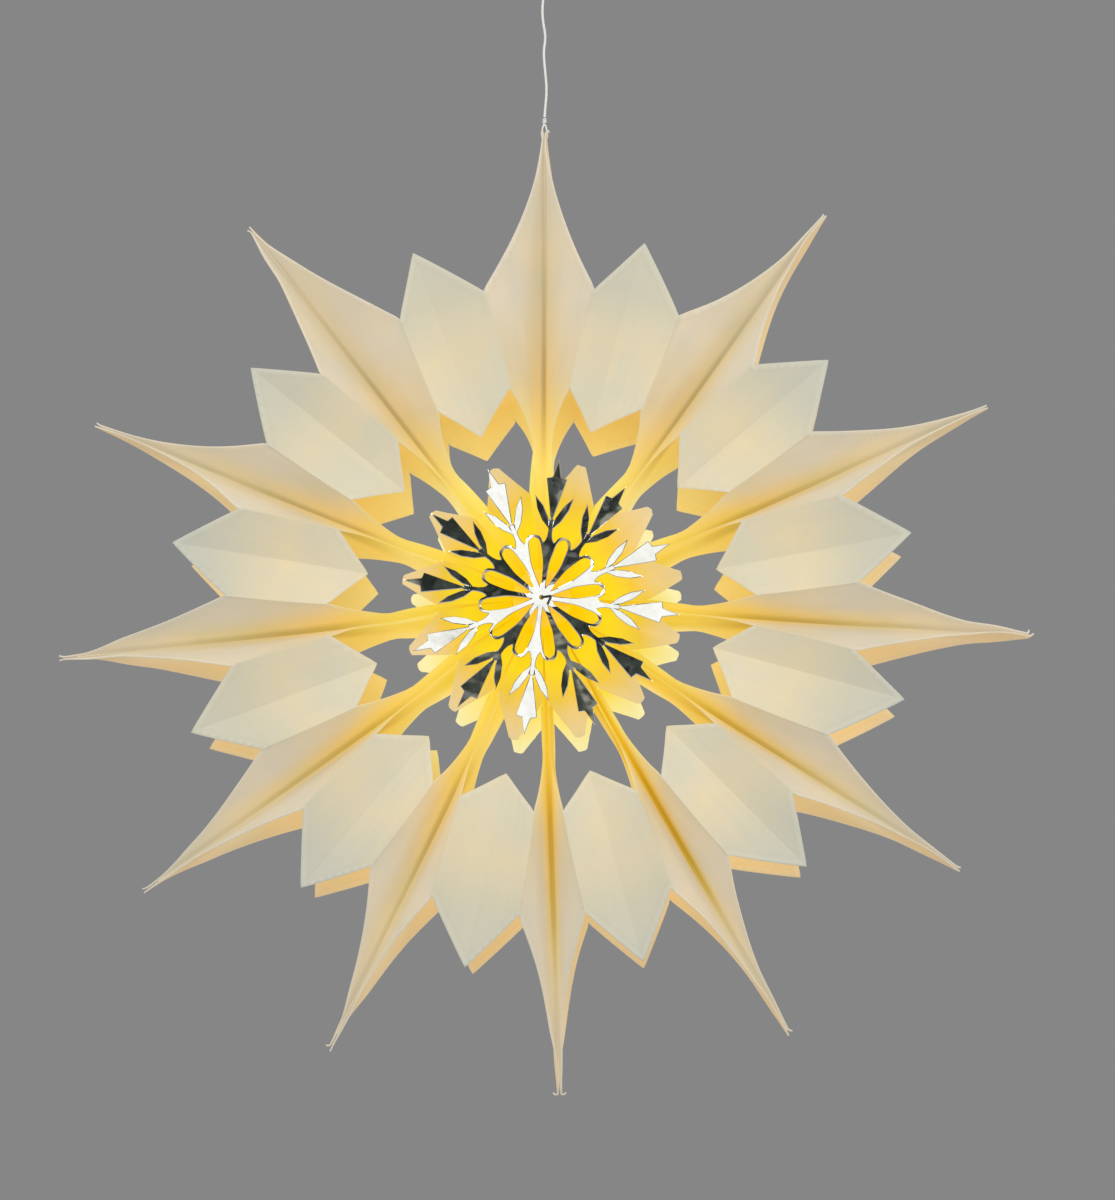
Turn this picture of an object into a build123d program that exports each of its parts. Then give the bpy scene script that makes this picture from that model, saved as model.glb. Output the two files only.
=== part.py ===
from build123d import *
import math
import os

# Paper star lantern: twelve gusseted paper bags fanned round a lit hub, hung on a thread.
# Millimetres. The hook hole of the hanging tab is the origin, Z is up, the front faces -Y.

# The paper bags
BAG_LENGTH = 258.0          # hub axis to the tip of a point
PANEL_HALF = 72.0           # half the width of a bag's panel
GUSSET_HALF = 25.0          # half the width of a side gusset
PAPER = 0.8                 # a wall of doubled, glued paper
HUB_CLEARANCE = 0.3         # bag bottoms to the hub sleeve
OPENING_LENGTH = 104.0      # how fast the gussets open with distance from the hub
SHOULDER_AT = 162.0         # where the slanted end cut meets the fold edges
NOTCH_OUTER_AT = 109.0      # outer corner of the side notch
NOTCH_NECK_AT = 79.0        # deepest point of the side notch
NOTCH_INNER_AT = 52.0       # inner corner of the side notch
NOTCH_DEPTH = 30.0          # how far the notch reaches in from the fold edges
NOTCH_ROUNDING = 5.0        # radius at the deepest point of the notch
PETAL_TIP_AT = 194.0        # outer tip of the short petal, on the gusset crease
PETAL_ROOT_AT = 91.5        # inner tip of the short petal
TAB_TIP_AT = 77.0           # where the sides of the inner gusset tab would meet
TAB_ROUNDING = 2.5
TIP_WIDTH = 2.0             # blunt end of a long point, measured front to back
TAPE_WIDTH = 6.0            # glue tape between neighbouring bags
TAPE_THICKNESS = 0.3

# The fan, clockwise from the top seam: how far each bag stands open, in degrees. The first and
# the last bag meet at the top seam, and the last one takes what the others leave of the circle.
FIRST_OPENINGS = [35.3, 30.0, 27.8, 29.1, 27.9, 28.1, 27.8, 28.9, 29.5, 28.2, 29.9]
TOP_ANGLE = 90.0

# The lit hub
SLEEVE_RADIUS = 15.0
SLEEVE_WALL = 1.0
SLEEVE_INSET = 4.0          # sleeve ends to the fold edges of the bags
SLIDE_GAP = 0.4             # light unit to the sleeve it slides in
PRESS_GAP = 0.1             # plug, cap and holder to the tube they sit in
PLUG_FLANGE = 1.5
PLUG_SPIGOT = 5.0
LIGHT_WALL = 1.0
LIGHT_FRONT_GAP = 13.7      # light unit to the bent tail of the pin
CAP_FLANGE = 3.0
CAP_SPIGOT = 8.0
SWITCH_LENGTH = 7.0
SWITCH_WIDTH = 4.0
SWITCH_HEIGHT = 2.6
SWITCH_TRAVEL = 4.0
SWITCH_POCKET = 2.0
SWITCH_GAP = 0.2
CELL_RADIUS = 5.2
CELL_LENGTH = 44.0
CELL_COUNT = 3
CELL_GAP = 0.2
HOLDER_DISC = 2.0
CONTACT_THICKNESS = 0.4
CONTACT_SIDE = 5.0
BOARD_WIDTH = 9.0
BOARD_THICKNESS = 1.6
BOARD_GAP = 8.2             # board to the front wall of the light tube
LED_SIZE = 3.5
LED_HEIGHT = 1.6
LED_ROWS = 4

# The snowflake and its wire pin
SNOW_THICKNESS = 1.0
SNOW_GAP = 0.5              # snowflake to the fold edges behind it
SNOW_ARMS = 12
SNOW_TURN = -7.3            # degrees, anticlockwise from the right
SNOW_DISC_RADIUS = 33.0
SNOW_SLOT_INNER = 5.5
SNOW_SLOT_RIM = 2.0         # slots to the edge of the disc
SNOW_SLOT_WIDTH = 6.0
SNOW_STEM_WIDTH = 2.6
SNOW_NODE_GAP = 1.5         # edge of the disc to where the two side leaves of an arm begin
SNOW_SIDE_LEAF = 21.0
SNOW_SIDE_WIDTH = 3.8
SNOW_SIDE_ANGLE = 30.0
SNOW_CROWN_AT = 38.0        # where the three-pointed crown of an arm begins
SNOW_BARB_AT = 62.0         # the crown's two side points
SNOW_BARB_HALF = 5.6
SNOW_TOOTH_AT = 62.8        # corners between the crown's middle and side points
SNOW_TOOTH_HALF = 2.3
SNOW_TIP_AT = 72.0
PIN_RADIUS = 0.6
PIN_SIDES = 8               # facets round the wire
PIN_HOOK = 5.0
PIN_BEND = 1.2
PIN_TAIL = 6.0
PIN_GAP = 0.3

# The hanging thread, its two tied loops and the tab above the view
THREAD_DIAMETER = 1.3
THREAD_DROP = 70.0
LOOP_WIRE_RADIUS = 0.5
KNOT_RADIUS = 1.6
KNOT_GAP = 0.3
LOOP_SIDES = 12             # straight runs round a tied loop
KNOT_SIDES = 8
TIE_HOLE_RADIUS = 1.0
TIE_HOLE_INSET = 6.0        # tie hole to the paper tip
TIE_LOOP_RADIUS = 4.0
TOP_LOOP_RADIUS = 3.6
TAPE_STOP = 10.0            # end of the glue tape to the paper tip
TAB_THICKNESS = 2.0
TAB_WIDTH = 14.0
HOOK_HOLE_RADIUS = 4.0
THREAD_HOLE_RADIUS = 1.5
THREAD_HOLE_EDGE = 3.5      # thread hole to the lower end of the tab
HOLE_SPACING = 10.0

# Worked out from the sizes above
HUB_START = SLEEVE_RADIUS + HUB_CLEARANCE
TOP_KNOT_Z = -HOLE_SPACING - 2 * TOP_LOOP_RADIUS - KNOT_RADIUS
THREAD_TOP_Z = TOP_KNOT_Z - KNOT_RADIUS - KNOT_GAP
THREAD_BOTTOM_Z = THREAD_TOP_Z - THREAD_DROP
TIE_KNOT_Z = THREAD_BOTTOM_Z - KNOT_GAP - KNOT_RADIUS
TIE_HOLE_Z = TIE_KNOT_Z - KNOT_RADIUS - 2 * TIE_LOOP_RADIUS
HUB_Z = TIE_HOLE_Z + TIE_HOLE_INSET - BAG_LENGTH
SLEEVE_END = PANEL_HALF - SLEEVE_INSET
SLEEVE_BORE = SLEEVE_RADIUS - SLEEVE_WALL
LIGHT_RADIUS = SLEEVE_BORE - SLIDE_GAP
LIGHT_BORE = LIGHT_RADIUS - LIGHT_WALL
SNOW_BACK = PANEL_HALF + SNOW_GAP
SNOW_SLOT_LENGTH = SNOW_DISC_RADIUS - SNOW_SLOT_RIM - SNOW_SLOT_INNER


def gusset_half_opening(at):
    """Half the gap between a bag's two fold edges, at a distance from the hub."""
    return GUSSET_HALF * math.tanh(at / OPENING_LENGTH)


def bag_corners(at, opening):
    """Corners of a bag's cross-section, anticlockwise round the tube."""
    half_angle = math.radians(opening / 2)
    glued = at * math.tan(half_angle) - TAPE_THICKNESS / 2 / math.cos(half_angle)
    glue_half = TAPE_WIDTH / 2
    if at <= SHOULDER_AT:
        spread = glued - gusset_half_opening(at)
    else:
        spread = SHOULDER_AT * math.tan(half_angle) - gusset_half_opening(SHOULDER_AT)
    fold_side = glued - spread
    depth = glue_half + math.sqrt((PANEL_HALF - glue_half) ** 2 - spread**2)
    crease = depth - math.sqrt(GUSSET_HALF**2 - gusset_half_opening(at) ** 2)
    right = [(fold_side, -depth), (glued, -glue_half), (glued, glue_half), (fold_side, depth)]
    left = [(-x, -y) for x, y in right]
    return right + [(0, crease)] + left + [(0, -crease)]


def set_in(corners, wall):
    """The same outline one wall thickness further in."""
    points = [Vector(x, y) for x, y in corners]
    inner = []
    for index, point in enumerate(points):
        arriving = (point - points[index - 1]).normalized()
        leaving = (points[(index + 1) % len(points)] - point).normalized()
        normals = [Vector(-along.Y, along.X) for along in (arriving, leaving)]
        shift = (normals[0] + normals[1]) * (wall / (1 + normals[0].dot(normals[1])))
        inner.append((point.X + shift.X, point.Y + shift.Y))
    return inner


def creased_tube(start, opening, wall):
    """A closed tube of flat paper facets, creased at each crossing line."""
    end = BAG_LENGTH * math.cos(math.radians(opening / 2)) + TIP_WIDTH
    rings = []
    for at in (start, NOTCH_NECK_AT, NOTCH_OUTER_AT, SHOULDER_AT, end):
        rings.append([(x, y, at) for x, y in set_in(bag_corners(at, opening), wall)])
    facets = [Face(Wire.make_polygon(ring)) for ring in (rings[0], rings[-1])]
    for lower, upper in zip(rings, rings[1:]):
        for index in range(len(lower)):
            a, b, c, d = lower[index - 1], lower[index], upper[index], upper[index - 1]
            facets += [Face(Wire.make_polygon(corner)) for corner in ((a, b, c), (a, c, d))]
    return Solid(Shell(facets))


def make_bag(opening):
    """One bag standing on the hub axis, opened to the given angle."""
    point_tip = BAG_LENGTH * math.cos(math.radians(opening / 2))
    shoulder_depth = bag_corners(SHOULDER_AT, opening)[3][1]
    shoulder_half = gusset_half_opening(SHOULDER_AT)
    notch_half = gusset_half_opening(NOTCH_OUTER_AT)
    tab_half = gusset_half_opening(NOTCH_INNER_AT)
    beyond = PANEL_HALF - shoulder_depth + TAPE_WIDTH
    slope = (point_tip - SHOULDER_AT) / (shoulder_depth - TIP_WIDTH / 2)
    reach = BAG_LENGTH

    with BuildPart() as gusset_guard:
        with BuildSketch(Plane.XZ.offset(-reach)):
            with BuildLine():
                Polyline(
                    (0, PETAL_ROOT_AT),
                    (notch_half, NOTCH_OUTER_AT),
                    (shoulder_half, SHOULDER_AT),
                    (0, PETAL_TIP_AT),
                    (-shoulder_half, SHOULDER_AT),
                    (-notch_half, NOTCH_OUTER_AT),
                    close=True,
                )
            make_face()
        extrude(amount=2 * reach)
        with BuildSketch(Plane.XZ.offset(-reach)) as tab:
            with BuildLine():
                Polyline((tab_half, NOTCH_INNER_AT), (tab_half, 0), (-tab_half, 0),
                         (-tab_half, NOTCH_INNER_AT), (0, TAB_TIP_AT), close=True)
            make_face()
            fillet(tab.vertices().sort_by(Axis.Y)[-1], radius=TAB_ROUNDING)
        extrude(amount=2 * reach)

    with BuildPart() as cuts:
        with BuildSketch(Plane.YZ.offset(-reach)):
            with BuildLine():
                Polyline(
                    (-shoulder_depth - beyond, SHOULDER_AT - beyond * slope),
                    (-TIP_WIDTH / 2, point_tip),
                    (TIP_WIDTH / 2, point_tip),
                    (shoulder_depth + beyond, SHOULDER_AT - beyond * slope),
                    (shoulder_depth + beyond, BAG_LENGTH + reach),
                    (-shoulder_depth - beyond, BAG_LENGTH + reach),
                    close=True,
                )
            make_face()
        extrude(amount=2 * reach)
        with BuildSketch(Plane.YZ.offset(-reach)) as notch:
            with BuildLine():
                Polyline(
                    (PANEL_HALF + beyond, NOTCH_OUTER_AT + beyond),
                    (PANEL_HALF, NOTCH_OUTER_AT),
                    (PANEL_HALF - NOTCH_DEPTH, NOTCH_NECK_AT),
                    (PANEL_HALF, NOTCH_INNER_AT),
                    (PANEL_HALF + beyond, NOTCH_INNER_AT - beyond),
                    close=True,
                )
            make_face()
            fillet(notch.vertices().sort_by(Axis.X)[0], radius=NOTCH_ROUNDING)
            mirror(about=Plane.YZ)
        extrude(amount=2 * reach)
        add(gusset_guard.part, mode=Mode.SUBTRACT)

    with BuildPart() as bag:
        add(creased_tube(HUB_START, opening, 0))
        add(creased_tube(HUB_START + PAPER, opening, PAPER), mode=Mode.SUBTRACT)
        add(cuts.part, mode=Mode.SUBTRACT)
    return bag.part


def ring_and_knot(plane, ring_radius, knot_z):
    """A thread loop in the given plane with a round knot on the thread's line."""
    with BuildPart() as tied:
        with BuildSketch(plane):
            RegularPolygon(ring_radius + LOOP_WIRE_RADIUS, LOOP_SIDES, major_radius=False,
                           rotation=180 / LOOP_SIDES)
            RegularPolygon(ring_radius - LOOP_WIRE_RADIUS, LOOP_SIDES, major_radius=False,
                           rotation=180 / LOOP_SIDES, mode=Mode.SUBTRACT)
        extrude(amount=LOOP_WIRE_RADIUS, both=True)
        with BuildSketch(Plane.XZ):
            with Locations((0, knot_z)):
                RegularPolygon(KNOT_RADIUS, KNOT_SIDES, rotation=180 / KNOT_SIDES)
                Rectangle(KNOT_RADIUS * 2, KNOT_RADIUS * 2, align=(Align.MAX, Align.CENTER),
                          mode=Mode.SUBTRACT)
        revolve(axis=Axis.Z)
    return tied.part


def facing_front(y):
    """A plane square to the star's axis whose normal points to the viewer."""
    return Plane((0, y, HUB_Z), x_dir=(1, 0, 0), z_dir=(0, -1, 0))


def facing_back(y):
    """A plane square to the star's axis whose normal points away from the viewer."""
    return Plane((0, y, HUB_Z), x_dir=(-1, 0, 0), z_dir=(0, 1, 0))


def slot(length, width):
    """A pointed oval lying along X from the origin."""
    with BuildSketch(mode=Mode.PRIVATE) as oval:
        with BuildLine():
            ThreePointArc((0, 0), (length / 2, width / 2), (length, 0))
            ThreePointArc((length, 0), (length / 2, -width / 2), (0, 0))
        make_face()
    return oval.sketch


def leaf(length, width):
    """A slim leaf with straight edges lying along X from the origin."""
    with BuildSketch(mode=Mode.PRIVATE) as slim:
        with BuildLine():
            Polyline((0, 0), (length / 3, width / 2), (2 * length / 3, width / 2), (length, 0),
                     (2 * length / 3, -width / 2), (length / 3, -width / 2), close=True)
        make_face()
    return slim.sketch


def crown():
    """The widening end of an arm with its middle point between two side points."""
    with BuildSketch(mode=Mode.PRIVATE) as pointed:
        with BuildLine():
            Polyline((SNOW_CROWN_AT, 0), (SNOW_BARB_AT, SNOW_BARB_HALF),
                     (SNOW_TOOTH_AT, SNOW_TOOTH_HALF), (SNOW_TIP_AT, 0),
                     (SNOW_TOOTH_AT, -SNOW_TOOTH_HALF), (SNOW_BARB_AT, -SNOW_BARB_HALF),
                     close=True)
        make_face()
    return pointed.sketch


def save(part, name):
    """Label a finished piece and write it."""
    part.label = name
    export_step(part, f"parts/{name}.step")


os.makedirs("parts", exist_ok=True)

# The fan of bags, clockwise from the top seam
bag_openings = FIRST_OPENINGS + [360 - sum(FIRST_OPENINGS)]
spoke_angles = [TOP_ANGLE - sum(bag_openings[:count]) for count in range(len(bag_openings))]
for number, opening in enumerate(bag_openings, start=1):
    middle = spoke_angles[number - 1] - opening / 2
    with BuildPart() as bag:
        with Locations(Location((0, 0, HUB_Z), (0, TOP_ANGLE - middle, 0))):
            add(make_bag(opening))
        if number in (1, len(bag_openings)):
            with BuildSketch(Plane.YZ.offset(-TAPE_WIDTH)):
                with Locations((0, TIE_HOLE_Z)):
                    Circle(TIE_HOLE_RADIUS)
            extrude(amount=2 * TAPE_WIDTH, mode=Mode.SUBTRACT)
    save(bag.part, f"bag_{number:02d}")

# Glue tape between each bag and the next
tape_start = HUB_START / math.cos(math.radians(max(bag_openings) / 2))
tape_length = BAG_LENGTH - TAPE_STOP - tape_start
with BuildPart() as tape_strips:
    for angle in spoke_angles:
        with BuildSketch(Plane((0, 0, HUB_Z), x_dir=(0, 1, 0),
                               z_dir=(math.cos(math.radians(angle)), 0,
                                      math.sin(math.radians(angle)))).offset(tape_start)):
            Rectangle(TAPE_WIDTH, TAPE_THICKNESS)
    extrude(amount=tape_length)
save(tape_strips.part, "tape_strips")

# The sleeve that the bag bottoms are glued round
with BuildPart() as hub_sleeve:
    with BuildSketch(facing_front(SLEEVE_END)):
        Circle(SLEEVE_RADIUS)
        Circle(SLEEVE_BORE, mode=Mode.SUBTRACT)
    extrude(amount=2 * SLEEVE_END)
save(hub_sleeve.part, "hub_sleeve")

# The plug that closes the front of the sleeve and carries the pin
with BuildPart() as front_plug:
    with BuildSketch(facing_front(-SLEEVE_END)):
        Circle(SLEEVE_RADIUS)
    extrude(amount=PLUG_FLANGE)
    with BuildSketch(facing_back(-SLEEVE_END)):
        Circle(SLEEVE_BORE - PRESS_GAP)
    extrude(amount=PLUG_SPIGOT)
    with BuildSketch(facing_front(0)):
        Circle(PIN_RADIUS + PRESS_GAP)
    extrude(amount=SLEEVE_END + PLUG_FLANGE, mode=Mode.SUBTRACT)
save(front_plug.part, "front_plug")

# The snowflake, cut from one sheet
with BuildPart() as snowflake_ornament:
    with BuildSketch(facing_front(-SNOW_BACK)):
        Circle(SNOW_DISC_RADIUS)
        with PolarLocations(0, SNOW_ARMS, start_angle=SNOW_TURN):
            with Locations((SNOW_DISC_RADIUS - SNOW_STEM_WIDTH, 0)):
                Rectangle(SNOW_CROWN_AT + 2 * SNOW_STEM_WIDTH - SNOW_DISC_RADIUS, SNOW_STEM_WIDTH,
                          align=(Align.MIN, Align.CENTER))
            add(crown())
            for side in (-1, 1):
                with Locations(Location((SNOW_DISC_RADIUS + SNOW_NODE_GAP, 0), side * SNOW_SIDE_ANGLE)):
                    add(leaf(SNOW_SIDE_LEAF, SNOW_SIDE_WIDTH))
        with PolarLocations(0, SNOW_ARMS, start_angle=SNOW_TURN + 180 / SNOW_ARMS):
            with Locations((SNOW_SLOT_INNER, 0)):
                add(slot(SNOW_SLOT_LENGTH, SNOW_SLOT_WIDTH), mode=Mode.SUBTRACT)
        Circle(PIN_RADIUS + PIN_GAP, mode=Mode.SUBTRACT)
    extrude(amount=SNOW_THICKNESS)
save(snowflake_ornament.part, "snowflake_ornament")

# The bent wire pin that the snowflake turns on
pin_front = -SNOW_BACK - SNOW_THICKNESS - PIN_GAP - PIN_RADIUS
pin_back = -SLEEVE_END + PLUG_SPIGOT + PIN_RADIUS + PRESS_GAP
with BuildPart() as ornament_pin:
    with BuildLine() as pin_line:
        FilletPolyline(
            (PIN_HOOK, pin_front, HUB_Z + PIN_RADIUS),
            (0, pin_front, HUB_Z),
            (0, pin_back, HUB_Z),
            (0, pin_back, HUB_Z + PIN_TAIL),
            radius=PIN_BEND,
        )
    with BuildSketch(Plane(pin_line.line @ 0, z_dir=pin_line.line % 0)):
        RegularPolygon(PIN_RADIUS, PIN_SIDES)
    sweep()
save(ornament_pin.part, "ornament_pin")

# The battery light that slides out of the back of the sleeve
light_front = pin_back + PIN_RADIUS + LIGHT_FRONT_GAP
light_length = SLEEVE_END - light_front
with BuildPart() as light_tube:
    with BuildSketch(facing_front(SLEEVE_END)):
        Circle(LIGHT_RADIUS)
    extrude(amount=light_length)
    with BuildSketch(facing_front(SLEEVE_END)):
        Circle(LIGHT_BORE)
    extrude(amount=light_length - LIGHT_WALL, mode=Mode.SUBTRACT)
save(light_tube.part, "light_tube")

pocket_floor = SLEEVE_END + CAP_FLANGE - SWITCH_POCKET
with BuildPart() as rear_cap:
    with BuildSketch(facing_back(SLEEVE_END)):
        Circle(SLEEVE_RADIUS)
    extrude(amount=CAP_FLANGE)
    with BuildSketch(facing_front(SLEEVE_END)):
        Circle(LIGHT_BORE - PRESS_GAP)
    extrude(amount=CAP_SPIGOT)
    with BuildSketch(facing_back(pocket_floor)):
        Rectangle(SWITCH_LENGTH + SWITCH_TRAVEL + 2 * SWITCH_GAP, SWITCH_WIDTH + 2 * SWITCH_GAP)
    extrude(amount=SWITCH_POCKET, mode=Mode.SUBTRACT)
save(rear_cap.part, "rear_cap")

with BuildPart() as switch_slider:
    with BuildSketch(facing_back(pocket_floor)):
        with Locations((SWITCH_TRAVEL / 2, 0)):
            Rectangle(SWITCH_LENGTH, SWITCH_WIDTH)
    extrude(amount=SWITCH_HEIGHT)
save(switch_slider.part, "switch_slider")

# The holder with its cells and contacts, behind the board with the light-emitting diodes
cell_ring = (CELL_RADIUS + CELL_GAP / 2) / math.sin(math.pi / CELL_COUNT)
spine_radius = cell_ring - CELL_RADIUS - PRESS_GAP
holder_back = SLEEVE_END - CAP_SPIGOT
cells_back = holder_back - HOLDER_DISC - CONTACT_THICKNESS
cells_front = cells_back - CELL_LENGTH
holder_front = cells_front - CONTACT_THICKNESS - HOLDER_DISC
with BuildPart() as battery_holder:
    with BuildSketch(facing_front(holder_back), facing_front(holder_front + HOLDER_DISC)):
        Circle(LIGHT_BORE - PRESS_GAP)
    extrude(amount=HOLDER_DISC)
    with BuildSketch(facing_front(holder_back)):
        Circle(spine_radius)
    extrude(amount=holder_back - holder_front)
save(battery_holder.part, "battery_holder")

with BuildPart() as battery_cells:
    with BuildSketch(facing_front(cells_back)):
        with PolarLocations(cell_ring, CELL_COUNT, start_angle=TOP_ANGLE):
            Circle(CELL_RADIUS)
    extrude(amount=CELL_LENGTH)
save(battery_cells.part, "battery_cells")

with BuildPart() as contact_plates:
    with BuildSketch(facing_back(cells_back), facing_back(cells_front - CONTACT_THICKNESS)):
        with PolarLocations(cell_ring, CELL_COUNT, start_angle=TOP_ANGLE):
            Rectangle(CONTACT_SIDE, CONTACT_SIDE)
    extrude(amount=CONTACT_THICKNESS)
save(contact_plates.part, "contact_plates")

board_length = holder_front - light_front - LIGHT_WALL - BOARD_GAP
with BuildPart() as led_board:
    with BuildSketch(facing_front(holder_front)):
        Rectangle(BOARD_WIDTH, BOARD_THICKNESS)
    extrude(amount=board_length)
save(led_board.part, "led_board")

board_middle = holder_front - board_length / 2
led_pitch = board_length / LED_ROWS
with BuildPart() as leds:
    for side in (-1, 1):
        with BuildSketch(Plane((0, board_middle, HUB_Z + side * BOARD_THICKNESS / 2),
                               x_dir=(1, 0, 0), z_dir=(0, 0, side))):
            with GridLocations(led_pitch, led_pitch, 1, LED_ROWS):
                Rectangle(LED_SIZE, LED_SIZE)
        extrude(amount=LED_HEIGHT)
save(leds.part, "leds")

# The thread, tied round the top point below and through the tab above
tie_plane = Plane((0, 0, TIE_HOLE_Z + TIE_LOOP_RADIUS), x_dir=(1, 0, 0), z_dir=(0, 1, 0))
save(ring_and_knot(tie_plane, TIE_LOOP_RADIUS, TIE_KNOT_Z), "tie_loop")

with BuildPart() as hanging_thread:
    with BuildSketch(Plane.XY.offset(THREAD_BOTTOM_Z)):
        Circle(THREAD_DIAMETER / 2)
    extrude(amount=THREAD_DROP)
save(hanging_thread.part, "hanging_thread")

top_plane = Plane((0, 0, -HOLE_SPACING - TOP_LOOP_RADIUS), x_dir=(0, 1, 0), z_dir=(1, 0, 0))
save(ring_and_knot(top_plane, TOP_LOOP_RADIUS, TOP_KNOT_Z), "top_loop")

with BuildPart() as hanging_tab:
    with BuildSketch(Plane.XZ.offset(-TAB_THICKNESS / 2)):
        Circle(TAB_WIDTH / 2)
        with Locations((0, -HOLE_SPACING)):
            Circle(THREAD_HOLE_EDGE)
        make_hull()
        Circle(HOOK_HOLE_RADIUS, mode=Mode.SUBTRACT)
        with Locations((0, -HOLE_SPACING)):
            Circle(THREAD_HOLE_RADIUS, mode=Mode.SUBTRACT)
    extrude(amount=TAB_THICKNESS)
save(hanging_tab.part, "hanging_tab")
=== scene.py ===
import math

import bmesh
import bpy
from mathutils import Matrix, Vector, noise


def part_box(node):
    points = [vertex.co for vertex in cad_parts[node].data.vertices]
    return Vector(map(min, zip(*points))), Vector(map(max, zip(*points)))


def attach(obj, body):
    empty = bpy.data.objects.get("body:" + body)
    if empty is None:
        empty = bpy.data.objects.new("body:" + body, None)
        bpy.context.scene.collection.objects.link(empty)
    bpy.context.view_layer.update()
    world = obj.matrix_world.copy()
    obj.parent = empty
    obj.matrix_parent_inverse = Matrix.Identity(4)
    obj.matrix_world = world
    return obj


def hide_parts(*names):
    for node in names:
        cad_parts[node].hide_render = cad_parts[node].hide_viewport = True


# Paper star lantern: the finish of its paper, foil, plastic and thread. Metres, Z up, front to -Y.
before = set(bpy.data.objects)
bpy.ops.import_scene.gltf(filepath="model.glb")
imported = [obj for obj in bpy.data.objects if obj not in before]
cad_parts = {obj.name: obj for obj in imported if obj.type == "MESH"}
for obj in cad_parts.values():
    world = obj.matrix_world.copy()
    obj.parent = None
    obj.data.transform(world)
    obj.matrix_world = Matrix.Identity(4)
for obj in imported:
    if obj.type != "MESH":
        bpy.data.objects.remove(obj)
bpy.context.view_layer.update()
scene = bpy.context.scene

# Places taken from the frame
hub_low, hub_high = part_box("hub_sleeve")
HUB = (hub_low + hub_high) / 2
THREAD_LOW, THREAD_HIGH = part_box("hanging_thread")
LOWER_LOOP_LOW, LOWER_LOOP_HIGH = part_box("tie_loop")
UPPER_LOOP_LOW, UPPER_LOOP_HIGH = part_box("top_loop")

# The view, its angles in degrees
IMAGE_WIDTH = 1115
VIEW_DISTANCE = 3.0
VIEW_AZIMUTH = 1.0
VIEW_ELEVATION = -5.4
VIEW_TARGET = HUB + Vector((0.0069, 0, 0.0055))
SENSOR = 36.0
PIXELS_PER_METRE = 1894.0

# The paper bags, as they are cut and folded: AT is a distance from the hub along a bag
BAG_COUNT = 12
BAG_LENGTH = 0.258
PANEL_HALF = 0.072
GUSSET_HALF = 0.025
GLUE_HALF = 0.003
GLUE_GAP = 0.00017
PAPER = 0.0007
HUB_START = 0.0158
OPENING_LENGTH = 0.104      # over what length a gusset opens on its way out
SHOULDER_AT = 0.162
NOTCH_OUTER_AT = 0.109
NOTCH_NECK_AT = 0.079
NOTCH_INNER_AT = 0.052
NOTCH_DEPTH = 0.030
NOTCH_ROUNDING = 0.005
NOTCH_STEPS = 5
PETAL_TIP_AT = 0.194
PETAL_ROOT_AT = 0.0915
TAB_TIP_AT = 0.077
TAB_ROUNDING = 0.0025
TAB_STEPS = 6
TIP_HALF = 0.001
PANEL_CURL = 1.9            # how late a panel bends away from its glued line, near the hub
CURL_FROM = 0.115           # from here on its bend goes over into that of POINT_CURLS,
CURL_TO = 0.175             # which it has from here on
TOP_ANGLE = 90.0

# The waviness of loose paper: how far it wanders, and how fast across and along a bag
WAVE = 0.0011
GUSSET_WAVES = (30, 22)
PANEL_WAVES = (26, 16)
PANEL_LIFT = 0.4
BAG_SEED = 7.3
PANEL_SEED = 3

# What differs from bag to bag and from point to point, clockwise from the top, angles in degrees.
# The openings run from one glued line to the next, and the last bag takes what is left.
FIRST_OPENINGS = [35.3, 30.0, 27.8, 29.1, 27.9, 28.1, 27.8, 28.9, 29.5, 28.2, 29.9]
PETAL_LEANS = [-1.7, -0.3, 0.6, -2.1, -0.7, 0.3, -0.3, -0.6, -0.4, 0.4, 1.1, -1.6]
# How late the panels bend away from each glued line out in the points
POINT_CURLS = [1.85, 2.6, 2.1, 1.85, 2.25, 2.55, 2.25, 2.15, 1.95, 1.6, 2.7, 1.4]
# How strongly the paper glows along each glued line
SEAM_GLOWS = [0.64, 0.70, 0.95, 1.1, 1.15, 1.5, 1.3, 0.85, 0.95, 0.9, 0.78, 0.64]
# How far each of the two layers of a point leaves the other at the tip
TIP_SPLIT_START = 0.236
TIP_SPLITS = [0.0026, 0.0004, 0.0006, 0.0009, 0.0003, 0.0005, 0.0015, 0.0004, 0.0005, 0.0003,
              0.0006, 0.0004]
# How the last stretch of each point twists
TWIST_FROM = 0.214
TWIST_TO = 0.240
TIP_TWISTS = [3.0, 3.0, 1.0, 6.0, 3.0, 3.0, 4.0, 5.0, 4.0, 7.0, 1.0, 6.0]
# How the two layers curl at the very end: first the one of the bag before the point, counted
# clockwise, then the one of the bag after it; above zero is counterclockwise, seen from the front
CURL_LENGTH = 0.0038
TIP_CURLS = [(10, -38), (4, 0), (2, 0), (52, 30), (14, 2), (30, 2), (80, -80), (0, -46),
             (0, -14), (10, -14), (0, -8), (18, 4)]

# The mesh of the paper
PANEL_COLUMNS = 48
GUSSET_COLUMNS = 16
SHEET_ROWS = 60
SAME_POINT = 1e-6
WELD = 1e-5
FOLD_REACH = 1e-4           # a corner this close to a gusset's side fold belongs to the gusset
CUT_REACH = 0.006           # how far past its ends a cut line may divide the mesh
TIP_CUTS = 8                # extra rows where a point curls
TIP_CUT_ZONE = 0.012
TIP_CUT_INSET = 1e-4
PAPER_FACTS = ("from_seam", "from_edge", "petal", "seam_glow")
PANELS = ("left", "right")
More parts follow.
